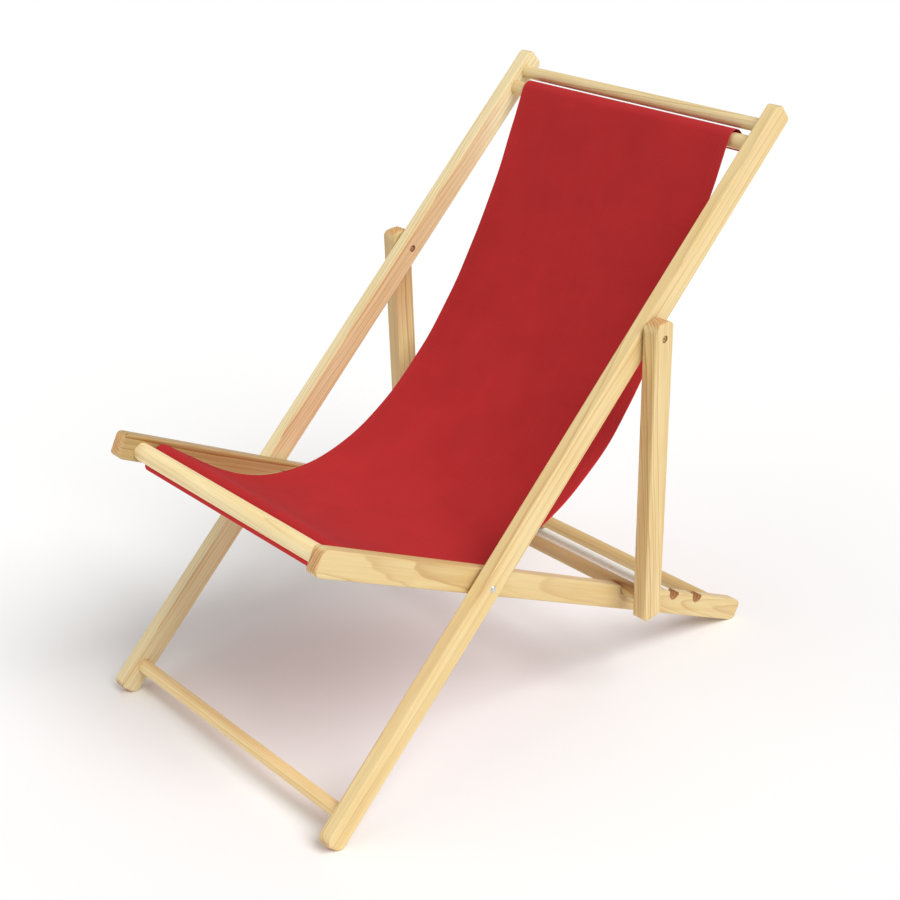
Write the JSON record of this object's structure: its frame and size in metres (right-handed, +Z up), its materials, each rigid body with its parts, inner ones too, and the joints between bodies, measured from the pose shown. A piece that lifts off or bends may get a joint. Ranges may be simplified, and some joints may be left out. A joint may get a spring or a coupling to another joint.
{
  "type": "deckchair",
  "caption": "Folding wooden deckchair with a hanging canvas sling, a notched seat frame, a leaning back frame and a prop frame.",
  "frame": {"origin": "centre of the bounding box's base, on the floor", "axes": "+X across the chair towards the sitter's left hand, +Y towards the back of the chair, +Z up"},
  "size_m": [0.593, 0.9988, 0.9461],
  "materials": {
    "wood_rails": "satin clear varnish on pine",
    "wood_bars": "satin clear varnish on pale wood",
    "canvas": "matt plain-weave cotton canvas",
    "bright_steel": "zinc plated",
    "dark_steel": "aged brownish screw head"
  },
  "bodies": {
    "seat_frame": {"seat_rail_left": "wood_rails", "seat_rail_right": "wood_rails", "front_bar": "wood_bars", "front_canvas_bar": "wood_bars", "rear_crossbar": "wood_bars", "front_hem_dowel": "wood_bars", "seat_bar_pins": "bright_steel", "canvas_seat": "canvas"},
    "back_frame": {"back_rail_left": "wood_rails", "back_rail_right": "wood_rails", "top_bar": "wood_bars", "top_canvas_bar": "wood_bars", "lower_crossbar": "wood_bars", "top_hem_dowel": "wood_bars", "back_bar_pins": "bright_steel", "canvas_back": "canvas", "frame_pivot_bolts": "bright_steel", "frame_pivot_spacers": "bright_steel", "frame_pivot_nuts": "bright_steel", "prop_pivot_bolts": "dark_steel", "prop_pivot_spacers": "bright_steel", "prop_pivot_nuts": "bright_steel"},
    "prop_frame": {"prop_strut_left": "wood_rails", "prop_strut_right": "wood_rails", "prop_bar": "wood_bars", "prop_bar_pins": "bright_steel"}
  },
  "joints": [
    {"name": "back_fold", "type": "hinge", "parent": "seat_frame", "child": "back_frame", "pos_m": [0, -0.19483, 0.319], "axis": [1, 0, 0], "range_deg": [0, 103]},
    {"name": "prop_fold", "type": "hinge", "parent": "back_frame", "child": "prop_frame", "pos_m": [0, 0.10468, 0.64132], "axis": [1, 0, 0], "range_deg": [-37.5, 0]}
  ],
  "couplings": [
    {"joint": "prop_fold", "follows": "back_fold", "ratio": -0.36}
  ]
}
